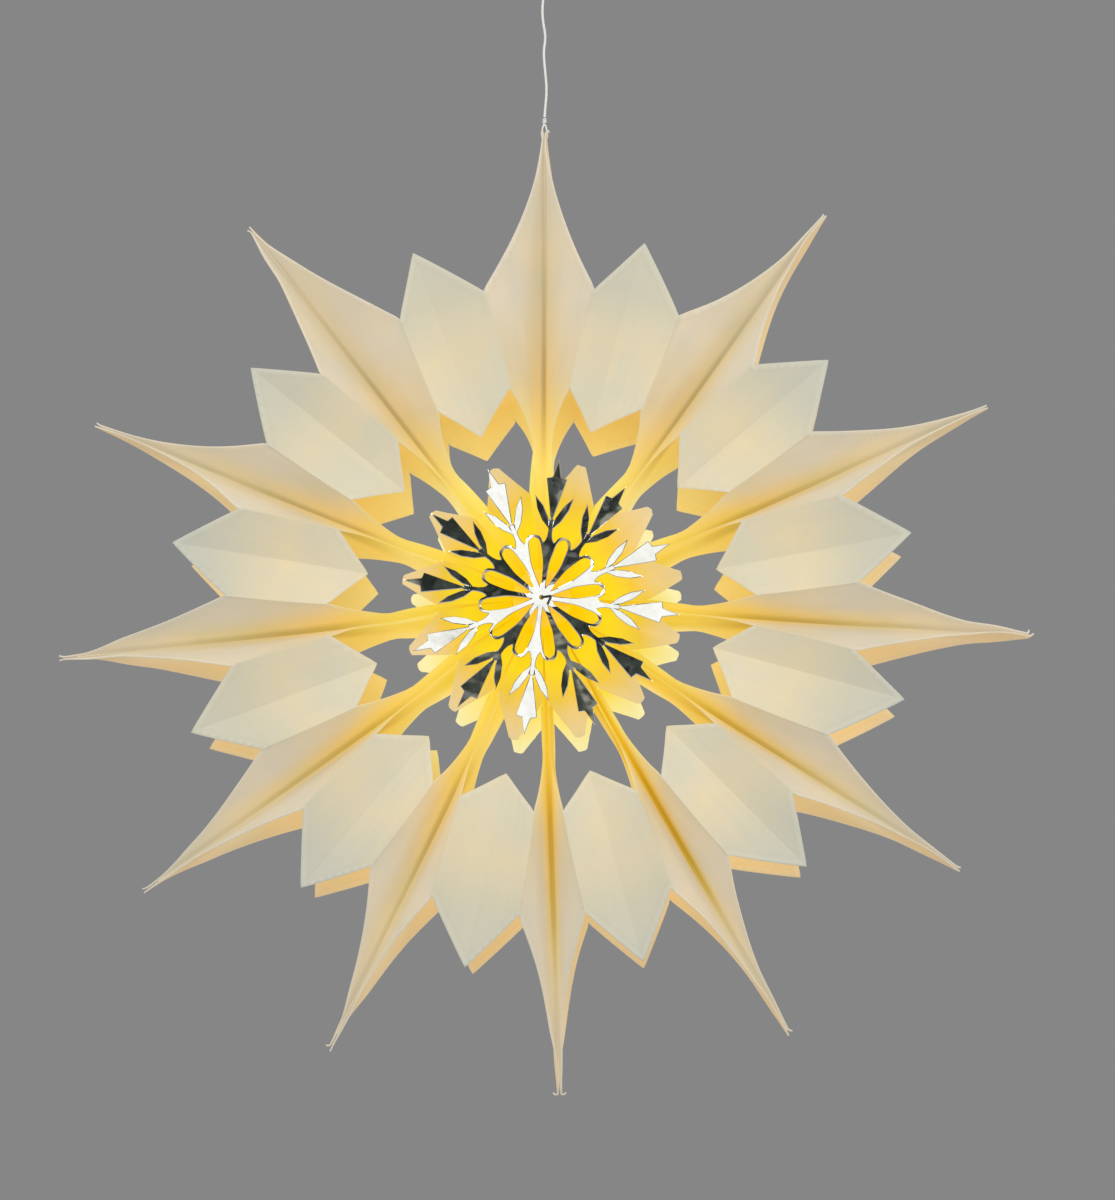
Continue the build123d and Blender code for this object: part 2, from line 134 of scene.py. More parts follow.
# The four strips of the flat bag: name, middle line, half width and mesh columns
STRIPS = [("left", -GUSSET_HALF - PANEL_HALF, PANEL_HALF, PANEL_COLUMNS),
          ("front", 0.0, GUSSET_HALF, GUSSET_COLUMNS),
          ("right", GUSSET_HALF + PANEL_HALF, PANEL_HALF, PANEL_COLUMNS),
          ("back", 2 * (GUSSET_HALF + PANEL_HALF), GUSSET_HALF, GUSSET_COLUMNS)]
# Its folds: the sides of each strip and the middle of each gusset
CREASES = [middle + side * width for strip, middle, width, columns in STRIPS
           for side in ((-1, 1) if strip in PANELS else (-1, 0, 1))]

# The snowflake, from its middle outwards; its arms go counterclockwise from the right
ARM_TURN = -7.3             # where the first arm points, in degrees
ARM_STEP = 30.0
ARM_TWISTS = [1.5, 1.0, 13.0, -14.0, -1.0, 12.0, 14.0, -2.0, -11.0, 0.5, 11.0, -13.0]
ARM_FROM = 0.006            # where the turn of an arm about its own length sets in
ARM_EASE = 0.006
ARM_REACH = 0.0078          # half the width that turns along
LEAVES_FROM = 0.0335
LEAF_REACH = 0.0125         # the same where the leaves are
SLOT_START = 0.0055
SLOT_END = 0.0310
SLOT_HALF = 0.0030
SLOT_WIDENS = 0.5           # the share of its length over which a slot widens
SLOT_ROUNDS = 0.2           # and over which its outer end is rounded
SLOT_TAPER = 0.8
SLOT_HALFWAY = 0.0180       # from here outwards a slot is stretched,
SLOT_LONGER = 0.0009        # by this much at its end
SLOT_SLACK = 2e-4
CARD_BEVEL = 0.00045
SHARP = 0.6                 # edges with a turn above this, in radians, get a bevel
DISC_RADIUS = 0.0330
DISC_SLACK = 4e-4
ARC_CUTS = 3
RIM_WIDTH = 0.0012          # between the round end of a slot and the disc's edge
STEM_AT = math.radians(13.2)
RIM_FROM = 0.0314           # the rim between the arms drops back a little
RIM_DROP = 0.0005

# The thread, its loops and the pin's hook; a route gives steps to the side and shares of the way
THREAD_RADIUS = 0.00065
THREAD_ROUTE = [(0, 0), (0.0006, 0.10), (0.0012, 0.22), (0.0003, 0.36), (-0.0006, 0.50),
                (0.0007, 0.62), (-0.0009, 0.74), (-0.0013, 0.86), (0, 1)]
LOOP_RADIUS = 0.00045
LOOP_SEAT = 0.0005
WRAP_RADIUS = 0.0008
WRAP_STEPS = 20
WRAP_TURN = math.pi / 3
KNOT_HEIGHT = 0.0032
PIN_RADIUS = 0.0006
PIN_HOOK = [(0.0040, 0.0006), (0.0048, 0.0006), (0.0046, -0.0004), (0.0030, -0.0036)]

# The studio: a floor that fades into the plain tone all round it, and a screen behind the viewer
FLOOR_BELOW = 1.35
FLOOR_RADIUS = 7.0
FLOOR_FADES_FROM = 2.2
FLOOR_FADES_TO = 6.8
SKY_STRENGTH = 0.72
SCREEN_AWAY = 5.0
SCREEN_UP = 0.47
SCREEN_WHITE = 0.95         # radius of its white middle
SCREEN_SOFT = 0.12
SCREEN_SIZE = 5.5


class Dab:
    """A shader socket that takes part in sums, so that a finish reads like a recipe."""

    def __init__(self, tree, socket):
        self.tree = tree
        self.socket = socket

    def node(self, kind, inputs=None, out=0, stops=None, **settings):
        """One node of the given kind, its settings first and then its sockets."""
        made = self.tree.nodes.new(kind)
        for name, value in settings.items():
            setattr(made, name, value)
        if stops:
            ramp = made.color_ramp.elements
            while len(ramp) < len(stops):
                ramp.new(0.5)
            for element, (place, shade) in zip(ramp, stops):
                element.position = place
                element.color = (*shade, 1)
        for name, value in (inputs or {}).items():
            if isinstance(value, Dab):
                self.tree.links.new(value.socket, made.inputs[name])
            else:
                made.inputs[name].default_value = value
        return Dab(self.tree, made.outputs[out])

    def math(self, operation, other=0.0, third=0.0, clamp=False):
        return self.node("ShaderNodeMath", {0: self, 1: other, 2: third},
                         operation=operation, use_clamp=clamp)

    def __add__(self, other):
        return self.math("ADD", other)

    def __sub__(self, other):
        return self.math("SUBTRACT", other)

    def __mul__(self, other):
        return self.math("MULTIPLY", other)

    def __truediv__(self, other):
        return self.math("DIVIDE", other)

    def __radd__(self, other):
        return self + other

    def __rmul__(self, other):
        return self * other

    def __rsub__(self, other):
        return (self * -1) + other

    def __abs__(self):
        return self.math("ABSOLUTE")

    def clamped(self):
        return self.math("ADD", 0.0, clamp=True)

    def ramp(self, stops):
        return self.node("ShaderNodeValToRGB", {"Fac": self}, stops=stops)

    def smooth(self, low, high):
        """0 below low, 1 above high, eased between them."""
        return self.node("ShaderNodeMapRange", {"Value": self, "From Min": low, "From Max": high},
                         interpolation_type="SMOOTHSTEP", clamp=True)

    def distance(self, other):
        """How far away a place is that lies this far sideways and as far up as the other says."""
        return (self * self + other * other).math("SQRT")

    def mixed(self, first, second):
        """The first colour where this is 0 and the second where it is 1."""
        return self.node("ShaderNodeMix", {"Factor": self, 6: first, 7: second}, out=2,
                         data_type="RGBA")

    def tinted(self, first, second):
        """Two colours multiplied, by as much as this says."""
        return self.node("ShaderNodeMix", {"Factor": self, 6: first, 7: second}, out=2,
                         data_type="RGBA", blend_type="MULTIPLY")

    def times(self, other):
        """This colour multiplied by another."""
        return self.node("ShaderNodeMix", {"Factor": 1.0, 6: self, 7: other}, out=2,
                         data_type="RGBA", blend_type="MULTIPLY")


def colour(red, green, blue):
    """A colour given as it looks on a screen, from 0 to 255, as linear light."""
    linear = []
    for level in (red, green, blue):
        share = level / 255
        linear.append(share / 12.92 if share <= 0.04045 else ((share + 0.055) / 1.055) ** 2.4)
    return tuple(linear)


def grey(level):
    """A grey in linear light."""
    return (level, level, level)


def solid(shade):
    """A colour for a socket, which wants its fourth value too."""
    return (*shade, 1)


class Finish:
    """A material with its principled shader and the places that its recipe reads."""

    def __init__(self, name, **constants):
        self.material = bpy.data.materials.new(name)
        self.material.use_nodes = True
        self.tree = self.material.node_tree
        self.shader = self.tree.nodes["Principled BSDF"]
        for socket, value in constants.items():
            self.shader.inputs[socket.replace("_", " ")].default_value = value
        self.start = Dab(self.tree, None)
        self.place = self.start.node("ShaderNodeTexCoord", out="Object")

    def axis(self, name):
        return self.start.node("ShaderNodeSeparateXYZ", {0: self.place}, out=name)

    def grain(self, scale, detail=3.0, place=None):
        return self.start.node("ShaderNodeTexNoise", {"Vector": place or self.place,
                                                      "Scale": scale, "Detail": detail}, out="Fac")

    def joined(self, x, y, z):
        return self.start.node("ShaderNodeCombineXYZ", {"X": x, "Y": y, "Z": z})

    def attribute(self, name):
        return self.start.node("ShaderNodeAttribute", out="Fac", attribute_name=name)

    def feed(self, socket, value):
        self.tree.links.new(value.socket, self.shader.inputs[socket])

    def bump(self, height, strength, distance):
        self.feed("Normal", self.start.node("ShaderNodeBump", {"Height": height,
                                                               "Strength": strength,
                                                               "Distance": distance}))


# Colours of the lit paper from the hub outwards, by distance over the bag's length: inside a bag,
# on its panels, on its short petals and in the glow along a glued line
INSIDE_LOOK = [(0.06, colour(255, 210, 0)), (0.19, colour(255, 226, 70)),
               (0.28, colour(255, 246, 186)), (0.36, colour(252, 222, 130)),
               (0.46, colour(244, 208, 112)), (0.62, colour(252, 222, 162)),
               (0.85, colour(244, 214, 166))]
PANEL_LOOK = [(0.06, colour(255, 208, 0)), (0.18, colour(255, 226, 74)),
              (0.28, colour(255, 236, 134)), (0.36, colour(246, 218, 148)),
              (0.46, colour(231, 212, 174)), (0.62, colour(228, 216, 193)),
              (0.85, colour(228, 215, 190)), (1.0, colour(230, 219, 200))]
PETAL_LOOK = [(0.06, colour(255, 206, 0)), (0.15, colour(255, 222, 36)),
              (0.20, colour(246, 204, 66)), (0.24, colour(240, 207, 128)),
              (0.30, colour(236, 212, 166)), (0.34, colour(228, 216, 184)),
              (0.42, colour(227, 218, 192)), (0.53, colour(230, 216, 183)),
              (0.65, colour(210, 205, 185)), (0.76, colour(204, 203, 188))]
SEAM_LOOK = [(0.10, colour(246, 192, 8)), (0.22, colour(246, 208, 62)),
             (0.33, colour(248, 210, 90)), (0.40, colour(242, 200, 84)),
             (0.49, colour(232, 193, 104)), (0.60, colour(222, 194, 126)),
             (0.74, colour(221, 200, 152)), (0.90, colour(220, 206, 176))]
# Painted shade in the crease along a glued line: how dark it is, by the same distance
SEAM_SHADE = [(0.30, grey(0.0)), (0.42, grey(1.0)), (0.52, grey(1.0)), (0.62, grey(0.7)),
              (0.76, grey(0.5)), (0.92, grey(0.15))]
# How much of the paper's colour is light from inside and how much it leaves to light from
# outside, by the same distance, and near a glued line
LIT_SHARE = [(0.28, grey(0.94)), (0.45, grey(0.55)), (0.80, grey(0.45))]
PLAIN_SHARE = [(0.28, grey(0.10)), (0.45, grey(0.45)), (0.80, grey(0.55))]
SEAM_LIT_SHARE = 0.92
SEAM_PLAIN_SHARE = 0.12

# Where the glow along the glued lines widens, loses its depth and fades, and where the cut edges
# begin to show, by the same distance
GLOW_WIDENS = (0.26, 0.42)
DEPTH_FADES = (0.55, 0.80)
GLOW_FADES = (0.70, 0.94)
GLOW_LOST = 0.9             # how much of the glow is gone at the end
EDGES_SHOW = (0.3, 0.5)
# How wide they are, in metres from a glued line or from a cut edge
GLOW_WIDTH = 0.0046
GLOW_WIDENING = 0.0036
DEEP_BAND = (0.0008, 0.0042)
# the band of painted shade in the crease at a glued line
SEAM_SHADE_BAND = (0.0003, 0.0019)
RIM_BAND = (0.0012, 0.0030)
EDGE_LINE_AT = 0.0036
EDGE_LINE_BAND = (0.0002, 0.0012)
# What multiplies the colours of a strong glow, and what gives the painted shade in the crease along
# a glued line and on the clear tape on it
DEEP_TINT = (0.90, 0.74, 0.10)
SEAM_SHADE_TINT = (0.74, 0.73, 0.66)
TAPE_SHADE_TINT = (0.70, 0.66, 0.50)
# The streaks run out from the hub: how fine they are around it, through the paper and outwards
STREAKS_AROUND, STREAKS_THROUGH, STREAKS_OUT = 38.0, 30.0, 3.0
CLOUD_SHIFT = 0.10          # how far the clouds in the paper shift its colours along the bag


def paper_finish(name, inside):
    """Pale paper that the light in the hub shines through, warmer towards the hub."""
    paper = Finish(name, Roughness=0.85, Emission_Strength=1.0, Specular_IOR_Level=0.2)
    across = paper.axis("X") - HUB.x
    up = paper.axis("Z") - HUB.z
    out_from_hub = across.distance(up)
    fibre = paper.grain(800.0, 4.0)
    cloud = paper.grain(26.0, 2.0)
    blotch = paper.grain(120.0)
    around = [side / out_from_hub * STREAKS_AROUND for side in (across, up)]
    through = paper.axis("Y") * STREAKS_THROUGH + out_from_hub * STREAKS_OUT
    streak = paper.grain(1.0, 2.0, paper.joined(around[0], around[1], through))
    reach = (out_from_hub / BAG_LENGTH + (cloud - 0.5) * CLOUD_SHIFT).clamped()

    # The paper by itself
    if inside:
        look = reach.ramp(INSIDE_LOOK)
    else:
        petal = paper.attribute("petal")
        look = petal.mixed(reach.ramp(PANEL_LOOK), reach.ramp(PETAL_LOOK))

    # The glow along the glued lines, deeper where it is strong, and the painted shade in the crease
    # at the lines themselves
    gap = paper.attribute("from_seam")
    seam_glow = paper.attribute("seam_glow")
    deep = (((seam_glow - 1) * 2).clamped() * (1 - gap.smooth(*DEEP_BAND))
            * (1 - reach.smooth(*DEPTH_FADES)))
    glow = deep.tinted(reach.ramp(SEAM_LOOK), solid(DEEP_TINT))
    glow_width = GLOW_WIDTH + reach.smooth(*GLOW_WIDENS) * GLOW_WIDENING
    near_seam = ((1 - (gap * seam_glow / glow_width).smooth(0.0, 1.0))
                 * (seam_glow * 1.5 - 0.4).clamped()
                 * (1 - reach.smooth(*GLOW_FADES) * GLOW_LOST))
    # Painted shade: the paper darkened close to the glued line, at the bottom of the crease
    seam_shade = (1 - gap.smooth(*SEAM_SHADE_BAND)) * reach.ramp(SEAM_SHADE)
    look = near_seam.mixed(look, glow)
    look = seam_shade.tinted(look, solid(SEAM_SHADE_TINT))

    # The pale rim along the cut edges and the faint line inside it
    edge = paper.attribute("from_edge")
    shown = reach.smooth(*EDGES_SHOW)
    rim = (1 - edge.smooth(*RIM_BAND)) * shown
    line = (1 - abs(edge - EDGE_LINE_AT).smooth(*EDGE_LINE_BAND)) * (blotch * 0.1) * shown
    look = (rim * 0.1).mixed(look, solid(colour(236, 236, 226)))
    look = line.tinted(look, solid(colour(210, 198, 170)))

    # The mottle over all of it, and its split into light from inside and from outside
    mottle = ((streak - 0.5) * 0.5 + (cloud - 0.5) * 1.6 + 0.5).clamped()
    look = look.times(mottle.ramp([(0.2, colour(243, 246, 248)), (0.8, colour(255, 252, 245))]))
    lit = near_seam.mixed(reach.ramp(LIT_SHARE), solid(grey(SEAM_LIT_SHARE)))
    plain = near_seam.mixed(reach.ramp(PLAIN_SHARE), solid(grey(SEAM_PLAIN_SHARE)))
    paper.feed("Emission Color", look.times(lit))
    paper.feed("Base Color", look.times(plain))
    paper.bump(fibre * 0.25 + streak * 0.5 + blotch * 0.3, 0.3, 0.0005)
    return paper.material


def risen(value, start, end):
    """0 before start, 1 after end, and a straight rise between them."""
    return min(1.0, max(0.0, (value - start) / (end - start)))


def opened(at):
    """Half the width of an open gusset, seen from the front."""
    return GUSSET_HALF * math.tanh(at / OPENING_LENGTH)


def bag_shape(at, opening):
    """Half gap of the fold edges, glued line, spread, fold depth and crease depth."""
    half_angle = math.radians(opening / 2)
    at_fold = min(at, SHOULDER_AT)
    half_gap = opened(at)
    glued = at * math.tan(half_angle) - GLUE_GAP
    spread = at_fold * math.tan(half_angle) - GLUE_GAP - opened(at_fold)
    depth = GLUE_HALF + math.sqrt((PANEL_HALF - GLUE_HALF) ** 2 - spread**2)
    crease = depth - math.sqrt(GUSSET_HALF**2 - half_gap**2)
    return half_gap, glued, spread, depth, crease


def folded_gusset(strip, across, at, bag):
    """Where a point of a flat gusset lies once the bag is folded and opened."""
    half_gap, glued, spread, depth, crease = bag_shape(at, bag["opening"])
    share = min(1.0, abs(across) / GUSSET_HALF)
    lean = at * math.tan(math.radians(bag["lean"])) * (1 - share)
    fast_across, fast_along = GUSSET_WAVES
    swell = noise.noise(Vector((across * fast_across, at * fast_along, bag["seed"])))
    out = crease + (depth - crease) * share + WAVE * swell * (1 - share**4)
    sideways = math.copysign(half_gap * share, across)
    if strip == "front":
        return Vector((sideways + lean, -out, at))
    return Vector((-sideways + lean, out, at))


def folded_panel(strip, across, at, bag):
    """Where a point of a flat panel lies, with the bend, the twist and the curl of its point."""
    half_gap, glued, spread, depth, crease = bag_shape(at, bag["opening"])
    share = max(0.0, (abs(across) - GLUE_HALF) / (PANEL_HALF - GLUE_HALF))
    out = min(abs(across), GLUE_HALF) + (depth - GLUE_HALF) * share
    fast_across, fast_along = PANEL_WAVES
    swell = noise.noise(Vector((across * fast_across, at * fast_along,
                                bag["seed"] + PANEL_SEED)))
    loose = max(0.0, at - TIP_SPLIT_START) / (BAG_LENGTH - TIP_SPLIT_START)
    bend = PANEL_CURL + (bag["point_" + strip] - PANEL_CURL) * risen(at, CURL_FROM, CURL_TO)
    x = (glued - spread * share**bend - WAVE * (swell + PANEL_LIFT) * math.sin(math.pi * share)
         - bag["split_" + strip] * loose**2)
    hand = 1 if strip == "right" else -1
    spot = Vector((hand * x, hand * math.copysign(out, across), at))
    eased = risen(at, TWIST_FROM, TWIST_TO)
    twist = math.tan(math.radians(bag["twist_" + strip]))
    spot.x += spot.y * twist * eased * eased * (3 - 2 * eased)
    curled = at - (bag["tip"] - CURL_LENGTH)
    if curled > 0:
        turned = math.radians(bag["curl_" + strip]) * curled / CURL_LENGTH
        spot.x -= curled * math.sin(turned)
        spot.z -= curled * (1 - math.cos(turned))
    return spot


def inside_outline(x, y, outline):
    """True where a point of the flat paper lies within a closed outline."""
    within = False
    for (x1, y1), (x2, y2) in zip(outline, outline[1:] + outline[:1]):
        if (y1 > y) != (y2 > y) and x < x1 + (y - y1) * (x2 - x1) / (y2 - y1):
            within = not within
    return within


def arc_points(centre, radius, start, end, count):
    """Points along an arc, from one angle to another in degrees."""
    return [(centre[0] + radius * math.cos(math.radians(start + (end - start) * step / count)),
             centre[1] + radius * math.sin(math.radians(start + (end - start) * step / count)))
            for step in range(count + 1)]


def notch_outline(side):
    """The side notch of a panel, its deepest point rounded."""
    neck = (PANEL_HALF - NOTCH_DEPTH, NOTCH_NECK_AT)
    outer_angle = math.degrees(math.atan2(NOTCH_OUTER_AT - NOTCH_NECK_AT, NOTCH_DEPTH))
    inner_angle = math.degrees(math.atan2(NOTCH_NECK_AT - NOTCH_INNER_AT, NOTCH_DEPTH))
    half = math.radians((outer_angle + inner_angle) / 2)
    lean = math.radians((outer_angle - inner_angle) / 2)
    away = NOTCH_ROUNDING / math.sin(half)
    centre = (neck[0] + away * math.cos(lean), neck[1] + away * math.sin(lean))
    rounded = arc_points(centre, NOTCH_ROUNDING, 90 + outer_angle, 270 - inner_angle, NOTCH_STEPS)
    points = [(PANEL_HALF, NOTCH_OUTER_AT)] + rounded + [(PANEL_HALF, NOTCH_INNER_AT)]
    return [(side * x, y) for x, y in points]


def tab_outline():
    """The tapered gusset tab next to the hub, its tip rounded, on the flat gusset."""
    gap = opened(NOTCH_INNER_AT)
    rise = TAB_TIP_AT - NOTCH_INNER_AT
    steep = math.atan2(rise, gap)
    centre = (0, TAB_TIP_AT - TAB_ROUNDING / math.cos(steep))
    start = math.degrees(math.pi / 2 - steep)
    tip = arc_points(centre, TAB_ROUNDING, start, 180 - start, TAB_STEPS)
    side = [(gap - gap * step / TAB_STEPS, NOTCH_INNER_AT + rise * step / TAB_STEPS)
            for step in range(TAB_STEPS)]
    side = [point for point in side if point[1] < tip[0][1]]
    seen = side + tip + [(-x, y) for x, y in reversed(side)]
    flat = [(x * GUSSET_HALF / opened(y), y) for x, y in seen]
    return [(-GUSSET_HALF, 0), (GUSSET_HALF, 0)] + flat


PETAL = [(0, PETAL_ROOT_AT), (GUSSET_HALF, NOTCH_OUTER_AT), (GUSSET_HALF, SHOULDER_AT),
         (0, PETAL_TIP_AT), (-GUSSET_HALF, SHOULDER_AT), (-GUSSET_HALF, NOTCH_OUTER_AT)]


def cut_lines(outline, width):
    """The lines of an outline that cut a strip, not those along its folds or straight across."""
    return [(first, second) for first, second in zip(outline, outline[1:] + outline[:1])
            if first[1] != second[1]
            and not (first[0] == second[0] and abs(abs(first[0]) - width) < SAME_POINT)]


def with_corners(faces):
    """Faces with their corners and edges, each of them once."""
    return list(dict.fromkeys(item for face in faces
                              for item in [face, *face.verts, *face.edges]))


def cut_along(sheet, middle, width, outline):
    """Cuts the flat sheet along an outline on one strip, and keeps both sides."""
    for first, second in cut_lines(outline, width):
        low, high = sorted((first[1], second[1]))
        local = [face for face in sheet.faces
                 if abs(face.calc_center_median().x - middle) < width
                 and low - CUT_REACH < face.calc_center_median().y < high + CUT_REACH]
        bmesh.ops.bisect_plane(sheet, geom=with_corners(local), dist=SAME_POINT,
                               plane_co=(first[0] + middle, first[1], 0),
                               plane_no=(first[1] - second[1], second[0] - first[0], 0))


def nearest_edge(x, y, outlines, width):
    """Distance on the flat paper from a point to the nearest cut edge."""
    nearest = BAG_LENGTH
    for outline in outlines:
        for (x1, y1), (x2, y2) in cut_lines(outline, width):
            along = max(0.0, min(1.0, ((x - x1) * (x2 - x1) + (y - y1) * (y2 - y1))
                                 / ((x2 - x1) ** 2 + (y2 - y1) ** 2)))
            nearest = min(nearest, math.hypot(x - x1 - (x2 - x1) * along,
                                              y - y1 - (y2 - y1) * along))
    return nearest


def strip_at(x, reach=0.0):
    """The strip of the flat bag at x; a gusset also takes what lies within reach of its folds."""
    def past_its_folds(strip):
        name, middle, width, columns = strip
        return abs(x - middle) - width - (0 if name in PANELS else reach)

    return min(STRIPS, key=past_its_folds)


def flat_bag(tip, outlines):
    """The flat paper of a bag: four strips side by side, cut, with their waste taken away."""
    sheet = bmesh.new()
    for fact in PAPER_FACTS:
        sheet.verts.layers.float.new(fact)
    for strip, middle, width, columns in STRIPS:
        made = bmesh.ops.create_grid(sheet, x_segments=columns, y_segments=SHEET_ROWS, size=0.5)
        bmesh.ops.scale(sheet, vec=(2 * width, tip - HUB_START, 1), verts=made["verts"])
        bmesh.ops.translate(sheet, vec=(middle, (tip + HUB_START) / 2, 0), verts=made["verts"])
    bmesh.ops.remove_doubles(sheet, verts=sheet.verts, dist=WELD)
    for strip, middle, width, columns in STRIPS:
        for outline in outlines[strip]:
            cut_along(sheet, middle, width, outline)
    waste = []
    for face in sheet.faces:
        spot = face.calc_center_median()
        strip, middle, width, columns = strip_at(spot.x)
        inside = [inside_outline(spot.x - middle, spot.y, outline) for outline in outlines[strip]]
        kept = inside[0] and not any(inside[1:]) if strip in PANELS else any(inside)
        if not kept:
            waste.append(face)
    bmesh.ops.delete(sheet, geom=waste, context="FACES")
    for step in range(TIP_CUTS):
        ends = [face for face in sheet.faces if face.calc_center_median().y > tip - TIP_CUT_ZONE]
        level = tip - CURL_LENGTH * step / (TIP_CUTS - 1) - TIP_CUT_INSET
        bmesh.ops.bisect_plane(sheet, geom=with_corners(ends), plane_no=(0, 1, 0),
                               plane_co=(0, level, 0), dist=SAME_POINT)
    return sheet


def fold_bag(number, opening, middle_angle):
    """One paper bag: cut flat, folded along its creases, opened and turned to its place."""
    tip = BAG_LENGTH * math.cos(math.radians(opening / 2))
    panel = [(PANEL_HALF, SHOULDER_AT), (TIP_HALF, tip), (-TIP_HALF, tip),
             (-PANEL_HALF, SHOULDER_AT), (-PANEL_HALF, 0), (PANEL_HALF, 0)]
    panel_cuts = [panel, notch_outline(1), notch_outline(-1)]
    gusset_cuts = [PETAL, tab_outline()]
    outlines = {"left": panel_cuts, "right": panel_cuts, "front": gusset_cuts, "back": gusset_cuts}
    sheet = flat_bag(tip, outlines)
    for edge in sheet.edges:
        first, second = [vert.co.x for vert in edge.verts]
        if abs(first - second) < SAME_POINT and any(abs(first - line) < WELD for line in CREASES):
            edge.smooth = False

    before, after = number - 1, number % BAG_COUNT
    facts = {"opening": opening, "lean": PETAL_LEANS[before], "seed": BAG_SEED * number, "tip": tip,
             "split_left": TIP_SPLITS[before], "split_right": TIP_SPLITS[after],
             "point_left": POINT_CURLS[before], "point_right": POINT_CURLS[after],
             "twist_left": TIP_TWISTS[before], "twist_right": TIP_TWISTS[after],
             "curl_left": TIP_CURLS[before][1], "curl_right": TIP_CURLS[after][0]}
    from_seam, from_edge, petal, seam_glow = [sheet.verts.layers.float[fact]
                                              for fact in PAPER_FACTS]
    for vert in sheet.verts:
        strip, middle, width, columns = strip_at(vert.co.x, FOLD_REACH)
        x, at = vert.co.x - middle, vert.co.y
        vert[from_edge] = nearest_edge(x, at, outlines[strip], width)
        if strip in PANELS:
            vert.co = folded_panel(strip, x, at, facts)
            vert[petal] = 0.0
            vert[from_seam] = max(0.0, bag_shape(at, opening)[1] - abs(vert.co.x))
        else:
            vert.co = folded_gusset(strip, x, at, facts)
            vert[petal] = 1.0
            vert[from_seam] = 1.0
        vert[seam_glow] = SEAM_GLOWS[before if vert.co.x < 0 else after]
    bmesh.ops.remove_doubles(sheet, verts=sheet.verts, dist=WELD)
    turn = Matrix.Rotation(math.radians(TOP_ANGLE - middle_angle), 3, "Y")
    bmesh.ops.rotate(sheet, cent=(0, 0, 0), matrix=turn, verts=sheet.verts)
    bmesh.ops.translate(sheet, vec=HUB, verts=sheet.verts)
    for face in sheet.faces:
        face.smooth = True
    bag = placed(sheet, f"paper_bag_{number:02d}", outer_paper)
    bag.data.materials.append(inner_paper)
    wall = bag.modifiers.new("paper thickness", "SOLIDIFY")
    wall.thickness = PAPER
    wall.offset = -1
    wall.material_offset = 1
    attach(bag, "star")
    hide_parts(f"bag_{number:02d}")


def placed(shape, name, finish):
    """A finished mesh as an object of the scene."""
    mesh = bpy.data.meshes.new(name)
    shape.to_mesh(mesh)
    shape.free()
    made = bpy.data.objects.new(name, mesh)
    scene.collection.objects.link(made)
    mesh.materials.append(finish)
    return made


def plain_finish(name, shade, roughness, metal=0.0, variation=0.12, scale=300.0):
    """A finish with a fine mottle in its colour, roughness and surface."""
    finish = Finish(name, Metallic=metal)
    mottle = finish.grain(scale, 4.0)
    darker = tuple(level * (1 - variation) for level in shade)
    finish.feed("Base Color", mottle.mixed(solid(shade), solid(darker)))
    finish.feed("Roughness", mottle * 0.15 + (roughness - 0.075))
    finish.bump(mottle, 0.1, 0.0002)
    return finish.material


def tape_finish():
    """The clear glue strips, which take the glow of the paper on both sides of them and the painted
    shade in its crease.
    """
    tape = Finish("glue tape", Roughness=0.4, Emission_Strength=0.9)
    reach = (tape.axis("X") - HUB.x).distance(tape.axis("Z") - HUB.z) / BAG_LENGTH
    mottle = tape.grain(300.0)
    # The glow of the glued line, darkened by the painted shade in the crease
    look = reach.ramp(SEAM_SHADE).tinted(reach.ramp(SEAM_LOOK), solid(TAPE_SHADE_TINT))
    look = (mottle * 0.4).tinted(look, solid(colour(240, 225, 190)))
    tape.feed("Emission Color", look)
    tape.feed("Base Color", (mottle * 0.2 + 0.8).tinted(look, solid(grey(SEAM_PLAIN_SHARE))))
    return tape.material


def lit_finish(name, shade, glow, roughness):
    """A plastic that the light inside shines through."""
    finish = Finish(name, Emission_Strength=1.0)
    mottle = finish.grain(60.0, 3.0)
    finish.feed("Base Color", mottle.mixed(solid(shade), solid([level * 0.9 for level in shade])))
    finish.feed("Emission Color", mottle.mixed(solid(glow), solid([level * 0.8 for level in glow])))
    finish.feed("Roughness", mottle * 0.1 + roughness)
    return finish.material


def foil_finish():
    """Mirror foil on thin card, with the slight waves that bend its reflections."""
    foil = Finish("mirror foil", Metallic=1.0)
    scuff = foil.grain(420.0, 4.0)
    wave = foil.grain(60.0, 0.0) + foil.grain(170.0, 0.0) * 0.22
    foil.feed("Base Color", scuff.mixed(solid(colour(250, 250, 248)), solid(colour(226, 228, 226))))
    foil.feed("Roughness", scuff * 0.10 + 0.03)
    foil.bump(wave + scuff * 0.005, 0.35, 0.0022)
    return foil.material


outer_paper = paper_finish("lit paper outside", False)
inner_paper = paper_finish("lit paper inside", True)
COTTON = plain_finish("white cotton thread", colour(232, 230, 226), 0.8)


def thread_curve(name, radius, runs):
    """A thread or a wire along one or more smooth lines, in cotton."""
    line = bpy.data.curves.new(name, "CURVE")
    line.dimensions = "3D"
    line.bevel_depth = radius
    line.bevel_resolution = 4
    for points, closed in runs:
        spline = line.splines.new("NURBS")
        spline.points.add(len(points) - 1)
        for bead, place in zip(spline.points, points):
            bead.co = (*place, 1)
        spline.order_u = 3
        spline.use_endpoint_u = not closed
        spline.use_cyclic_u = closed
    line.materials.append(COTTON)
    made = bpy.data.objects.new(name, line)
    scene.collection.objects.link(made)
    return made


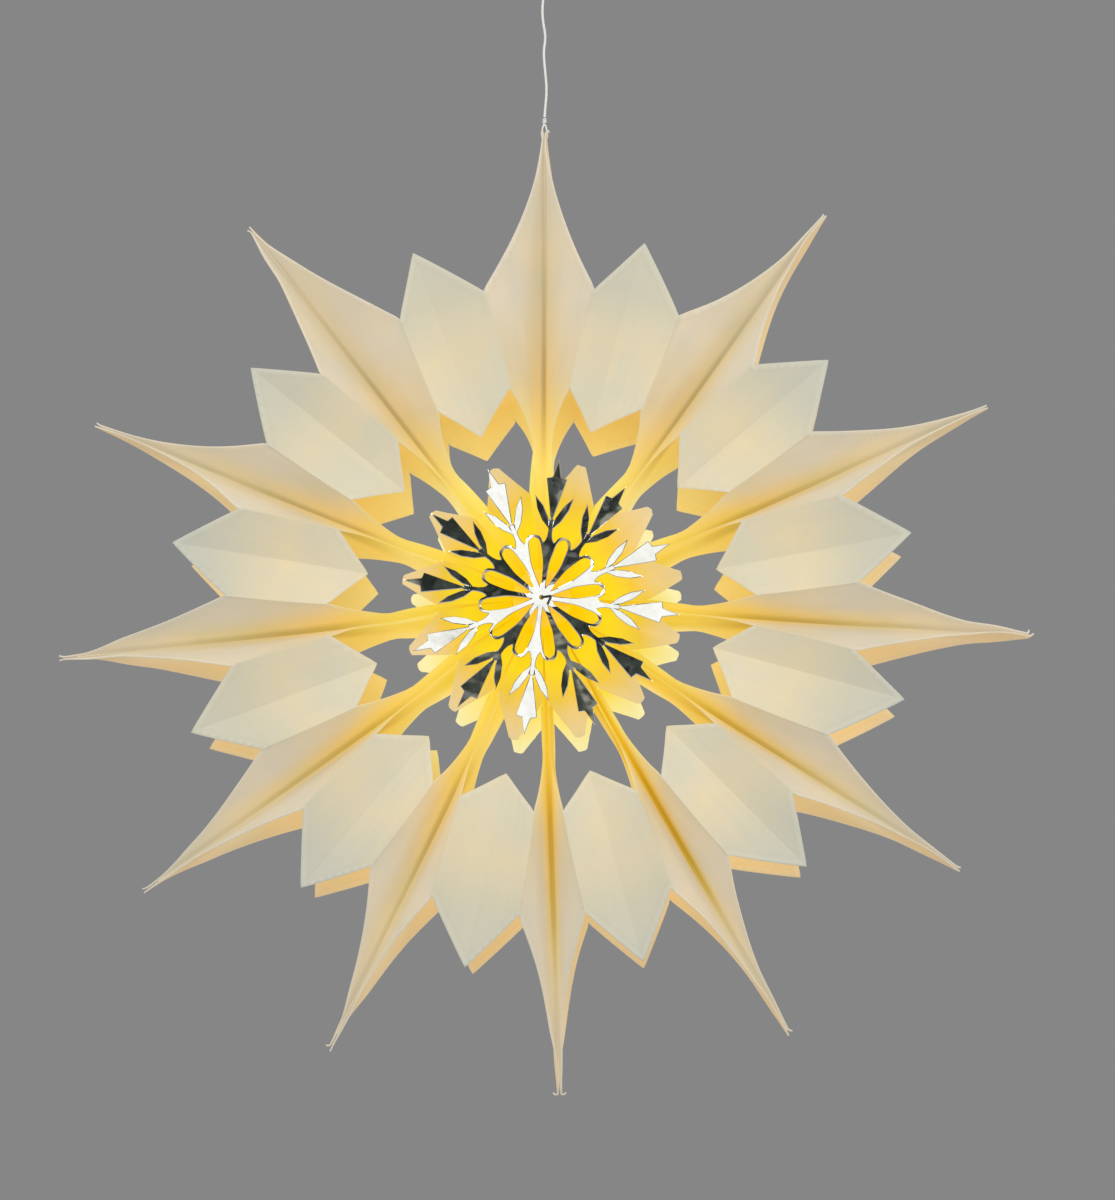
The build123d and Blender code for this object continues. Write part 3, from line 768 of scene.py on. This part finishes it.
def tied_loop(name, node, body, low, high, knot_low, knot_high, half_width):
    """A slim loop of thread closed by a wrapped knot."""
    start, rise = (low, knot_low - low) if knot_low > low else (high, knot_high - high)
    half = [(0.8, 0, 0.03), (1.0, 0.0004, 0.3), (0.7, 0.0003, 0.7)]
    right = [(half_width * wide, away, start + rise * share) for wide, away, share in half]
    left = [(-x, -y, z) for x, y, z in reversed(right)]
    loop = [(0, 0, start), *right, (0.0003, 0, start + rise), (-0.0003, 0, start + rise), *left]
    wraps = [(WRAP_RADIUS * math.cos(step * WRAP_TURN), WRAP_RADIUS * math.sin(step * WRAP_TURN),
              knot_low + (knot_high - knot_low) * (step + 1) / (WRAP_STEPS + 2))
             for step in range(WRAP_STEPS)]
    made = thread_curve(name, LOOP_RADIUS, [(loop, True), (wraps, False)])
    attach(made, body)
    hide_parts(node)
    return made


# The hanging thread and the loops at its ends
thread_bottom, thread_top = THREAD_LOW.z, THREAD_HIGH.z
thread = thread_curve("hanging_cotton", THREAD_RADIUS,
                      [([(shift, 0, thread_bottom + (thread_top - thread_bottom) * share)
                         for shift, share in THREAD_ROUTE], False)])
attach(thread, "line")
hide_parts("hanging_thread")
lower_tie = tied_loop("tied_end", "tie_loop", "lower_tie", LOWER_LOOP_LOW.z + LOOP_SEAT,
                      LOWER_LOOP_HIGH.z, LOWER_LOOP_HIGH.z - KNOT_HEIGHT, LOWER_LOOP_HIGH.z, 0.0016)
upper_tie = tied_loop("tied_top", "top_loop", "upper_tie", UPPER_LOOP_LOW.z,
                      UPPER_LOOP_HIGH.z - LOOP_SEAT, UPPER_LOOP_LOW.z,
                      UPPER_LOOP_LOW.z + KNOT_HEIGHT, 0.0022)

# The paper bags, clockwise from the top seam
openings = FIRST_OPENINGS + [360 - sum(FIRST_OPENINGS)]
for count, opening in enumerate(openings):
    spoke = TOP_ANGLE - sum(openings[:count])
    fold_bag(count + 1, opening, spoke - opening / 2)


def slot_half(along):
    """Half the width of a slot at a distance from the middle: narrow inside, round outside."""
    share = (along - SLOT_START) / (SLOT_END - SLOT_START)
    past = max(0.0, (share - (1 - SLOT_ROUNDS)) / SLOT_ROUNDS)
    rounded = math.sqrt(max(0.0, 1 - past**2))
    return SLOT_HALF * min(1.0, max(0.0, share) / SLOT_WIDENS) ** SLOT_TAPER * rounded


def scallop(offset):
    """Distance from the middle to the disc's edge, at an angle from the line of a slot."""
    centre, rim = SLOT_END + SLOT_LONGER - SLOT_HALF, SLOT_HALF + RIM_WIDTH
    edge_at = math.asin(rim / centre)
    if offset < edge_at:
        return centre * math.cos(offset) + math.sqrt(rim**2 - (centre * math.sin(offset)) ** 2)
    low = centre * math.cos(edge_at)
    return low + (DISC_RADIUS - low) * risen(offset, edge_at, STEM_AT) ** 2


def off_middle(vert):
    """A corner of the card from the middle: right, up, distance and degrees from the first arm."""
    x, z = vert.co.x - HUB.x, vert.co.z - HUB.z
    return x, z, math.hypot(x, z), math.degrees(math.atan2(z, x)) - ARM_TURN


def on_disc_edge(vert):
    """True for a corner on the disc's edge."""
    return abs(off_middle(vert)[2] - DISC_RADIUS) < DISC_SLACK


def card_outline(node):
    """The front outline of the flat CAD card, without its faces."""
    card = bmesh.new()
    card.from_mesh(node.data)
    bmesh.ops.remove_doubles(card, verts=card.verts, dist=SAME_POINT)
    others = [face for face in card.faces if face.normal.y > -0.9]
    bmesh.ops.delete(card, geom=others, context="FACES")
    inner = [edge for edge in card.edges if len(edge.link_faces) > 1]
    bmesh.ops.delete(card, geom=inner, context="EDGES")
    bmesh.ops.delete(card, geom=list(card.faces), context="FACES_ONLY")
    return card


def scallop_disc(card):
    """Lets the disc's edge follow the round ends of the slots."""
    arcs = [edge for edge in card.edges if all(on_disc_edge(vert) for vert in edge.verts)]
    bmesh.ops.subdivide_edges(card, edges=arcs, cuts=ARC_CUTS)
    arc_verts = [vert for vert in card.verts if on_disc_edge(vert)
                 and all(on_disc_edge(edge.other_vert(vert)) for edge in vert.link_edges)]
    for vert in arc_verts:
        x, z, distance, direction = off_middle(vert)
        offset = direction % ARM_STEP - ARM_STEP / 2
        scale = scallop(abs(math.radians(offset))) / distance
        vert.co.x, vert.co.z = HUB.x + x * scale, HUB.z + z * scale


def reshape_slots(card):
    """Makes each oval slot narrower inside, rounder outside and a little longer."""
    for vert in card.verts:
        x, z, distance, direction = off_middle(vert)
        angle = math.radians(ARM_TURN + (round(direction / ARM_STEP - 0.5) + 0.5) * ARM_STEP)
        along = x * math.cos(angle) + z * math.sin(angle)
        sideways = z * math.cos(angle) - x * math.sin(angle)
        if (SLOT_START < along < SLOT_END + SLOT_SLACK / 2
                and abs(sideways) < SLOT_HALF + SLOT_SLACK):
            wider = 0
            if abs(sideways) > SLOT_SLACK / 2:
                wider = math.copysign(slot_half(along), sideways) - sideways
            longer = SLOT_LONGER * max(0.0, (along - SLOT_HALFWAY) / (SLOT_END - SLOT_HALFWAY))
            vert.co += Vector((-math.sin(angle), 0, math.cos(angle))) * wider
            vert.co += Vector((math.cos(angle), 0, math.sin(angle))) * longer


def thicken_card(card, thickness):
    """Fills the outline and gives the card its thickness and its bevelled edges."""
    bmesh.ops.triangle_fill(card, edges=list(card.edges), use_beauty=True, normal=(0, -1, 0))
    sheet = bmesh.ops.extrude_face_region(card, geom=list(card.faces))
    behind = [item for item in sheet["geom"] if isinstance(item, bmesh.types.BMVert)]
    bmesh.ops.translate(card, vec=(0, thickness, 0), verts=behind)
    bmesh.ops.recalc_face_normals(card, faces=card.faces)
    sharp = [edge for edge in card.edges if edge.is_manifold and edge.calc_face_angle() > SHARP]
    bmesh.ops.bevel(card, geom=sharp, offset=CARD_BEVEL, segments=1, profile=0.5,
                    affect="EDGES", material=-1, clamp_overlap=True)
    bmesh.ops.triangulate(card, faces=card.faces)


def turn_arms(card, rooted):
    """Turns each arm about its own length, and drops the disc's rim between the arms."""
    for vert in card.verts:
        x, z, distance, direction = off_middle(vert)
        arm = round(direction / ARM_STEP)
        angle = math.radians(ARM_TURN + arm * ARM_STEP)
        sideways = z * math.cos(angle) - x * math.sin(angle)
        if abs(sideways) < (ARM_REACH if distance < LEAVES_FROM else LEAF_REACH):
            twist = ARM_TWISTS[arm % len(ARM_TWISTS)]
            turn = Matrix.Rotation(
                math.radians(twist) * risen(distance, ARM_FROM, ARM_FROM + ARM_EASE), 3,
                Vector((math.cos(angle), 0, math.sin(angle))))
            vert.co = rooted + turn @ (vert.co - rooted)
        elif distance > RIM_FROM:
            vert.co.y += RIM_DROP


# The foil snowflake, cut from the outline of the CAD card
card_low, card_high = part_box("snowflake_ornament")
foil_card = card_outline(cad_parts["snowflake_ornament"])
scallop_disc(foil_card)
reshape_slots(foil_card)
thicken_card(foil_card, card_high.y - card_low.y)
turn_arms(foil_card, Vector((HUB.x, ((card_low + card_high) / 2).y, HUB.z)))
flake = placed(foil_card, "foil_snowflake", foil_finish())
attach(flake, "snowflake")
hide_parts("snowflake_ornament")

# Finishes of the pieces whose shape comes from the frame
node_finishes = {
    "tape_strips": tape_finish(),
    "hub_sleeve": lit_finish("glowing card sleeve", colour(200, 160, 40), colour(240, 180, 0), 0.6),
    "front_plug": lit_finish("front plug plastic", colour(190, 150, 30), colour(235, 178, 0), 0.4),
    "ornament_pin": plain_finish("pin steel", colour(90, 90, 86), 0.3, 1.0),
    "light_tube": lit_finish("frosted light tube", colour(240, 238, 225), colour(255, 240, 190),
                             0.35),
    "rear_cap": plain_finish("white moulded plastic", colour(225, 224, 218), 0.45, 0.0, 0.04),
    "switch_slider": plain_finish("grey switch plastic", colour(95, 97, 100), 0.5, 0.0, 0.1),
    "battery_holder": plain_finish("grey holder plastic", colour(70, 72, 75), 0.5, 0.0, 0.1),
    "battery_cells": plain_finish("cell case", colour(60, 110, 150), 0.3, 0.6),
    "contact_plates": plain_finish("nickel contacts", colour(200, 190, 170), 0.25, 1.0),
    "led_board": plain_finish("white solder mask", colour(228, 228, 222), 0.4, 0.0, 0.05),
    "leds": lit_finish("lit diode", colour(250, 240, 190), colour(255, 250, 220), 0.3),
    "hanging_tab": plain_finish("tab aluminium", colour(190, 190, 190), 0.35, 1.0),
}
for node, finish in node_finishes.items():
    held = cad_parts[node]
    held.data.materials.clear()
    held.data.materials.append(finish)

# The end of the pin's hook, bent down once more
pin_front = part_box("ornament_pin")[0].y + PIN_RADIUS
pin_bend = thread_curve("pin_hook_end", PIN_RADIUS,
                        [([(x, pin_front, HUB.z + up) for x, up in PIN_HOOK], False)])
pin_bend.data.use_fill_caps = True
pin_bend.data.materials.clear()
pin_bend.data.materials.append(node_finishes["ornament_pin"])
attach(pin_bend, "star")

# The floor, which fades into the plain tone all round it
BACKDROP_TONE = colour(134, 134, 135)
floor_shape = bmesh.new()
bmesh.ops.create_circle(floor_shape, cap_ends=True, segments=96, radius=FLOOR_RADIUS)
bmesh.ops.translate(floor_shape, vec=(0, 0, -FLOOR_BELOW), verts=floor_shape.verts)
floor_look = Finish("pale studio floor", Roughness=0.9)
outwards = floor_look.axis("X").distance(floor_look.axis("Y"))
floor_look.feed("Base Color", floor_look.grain(3.0).mixed(solid(colour(176, 176, 177)),
                                                          solid(colour(172, 172, 173))))
floor_look.feed("Alpha", 1 - outwards.smooth(FLOOR_FADES_FROM, FLOOR_FADES_TO))
floor = placed(floor_shape, "studio_floor", floor_look.material)

# A screen behind the viewer that only the mirror foil shows: white in the middle, dark around it
screen_shape = bmesh.new()
bmesh.ops.create_circle(screen_shape, cap_ends=True, segments=48, radius=SCREEN_SIZE)
bmesh.ops.rotate(screen_shape, cent=(0, 0, 0), matrix=Matrix.Rotation(math.radians(-90), 3, "X"),
                 verts=screen_shape.verts)
bmesh.ops.translate(screen_shape, vec=(HUB.x, -SCREEN_AWAY, HUB.z + SCREEN_UP),
                    verts=screen_shape.verts)
screen_look = Finish("studio screen", Roughness=1.0, Emission_Strength=1.0,
                     Base_Color=(0, 0, 0, 1), Specular_IOR_Level=0.0)
aside = screen_look.axis("X") - HUB.x
above = screen_look.axis("Z") - (HUB.z + SCREEN_UP)
drape = screen_look.grain(1.7)
dark_part = drape.ramp([(0.40, (0.012, 0.016, 0.015)), (0.56, (0.06, 0.07, 0.06)),
                        (0.66, (0.34, 0.33, 0.28))])
light_part = drape.ramp([(0.35, (0.92, 0.91, 0.85)), (0.55, (1.12, 1.12, 1.08))])
darkness = aside.distance(above).smooth(SCREEN_WHITE - SCREEN_SOFT, SCREEN_WHITE + SCREEN_SOFT)
screen_look.feed("Emission Color", darkness.mixed(light_part, dark_part))
screen = placed(screen_shape, "studio_screen", screen_look.material)
screen.visible_camera = False
screen.visible_diffuse = False
screen.visible_shadow = False
screen.visible_transmission = False
screen.visible_volume_scatter = False

# Light: white on the star, while the view and the foil see the plain tone
world = bpy.data.worlds.new("studio")
scene.world = world
world.use_nodes = True
sky = Dab(world.node_tree, None)
light = sky.node("ShaderNodeBackground", {"Color": (1, 1, 1, 1), "Strength": SKY_STRENGTH})
tone = sky.node("ShaderNodeBackground", {"Color": solid(BACKDROP_TONE), "Strength": 1.0})
seen = sky.node("ShaderNodeLightPath", out="Is Camera Ray")
for ray in ("Is Glossy Ray", "Is Transmission Ray"):
    seen = seen.math("MAXIMUM", sky.node("ShaderNodeLightPath", out=ray))
both = sky.node("ShaderNodeMixShader", {0: seen, 1: light, 2: tone})
world.node_tree.links.new(both.socket, world.node_tree.nodes["World Output"].inputs["Surface"])


def soft_lamp(name, place, width, power):
    """A large soft lamp turned to the star."""
    lamp = bpy.data.lights.new(name, "AREA")
    lamp.shape = "DISK"
    lamp.size = width
    lamp.energy = power
    holder = bpy.data.objects.new(name, lamp)
    holder.location = place
    holder.rotation_euler = (VIEW_TARGET - Vector(place)).to_track_quat("-Z", "Y").to_euler()
    scene.collection.objects.link(holder)


soft_lamp("key lamp", (-1.2, -2.4, 1.2), 1.4, 30.0)
soft_lamp("fill lamp", (1.8, -2.0, -0.2), 1.4, 18.0)

# The camera
camera_data = bpy.data.cameras.new("photo view")
camera_data.sensor_fit = "HORIZONTAL"
camera_data.sensor_width = SENSOR
camera_data.lens = PIXELS_PER_METRE * VIEW_DISTANCE * SENSOR / IMAGE_WIDTH
camera = bpy.data.objects.new("photo view", camera_data)
azimuth, elevation = math.radians(VIEW_AZIMUTH), math.radians(VIEW_ELEVATION)
back = Vector((math.sin(azimuth) * math.cos(elevation), -math.cos(azimuth) * math.cos(elevation),
               math.sin(elevation)))
camera.location = VIEW_TARGET + back * VIEW_DISTANCE
camera.rotation_euler = (-back).to_track_quat("-Z", "Y").to_euler()
scene.collection.objects.link(camera)
scene.camera = camera
scene.view_settings.view_transform = "Standard"
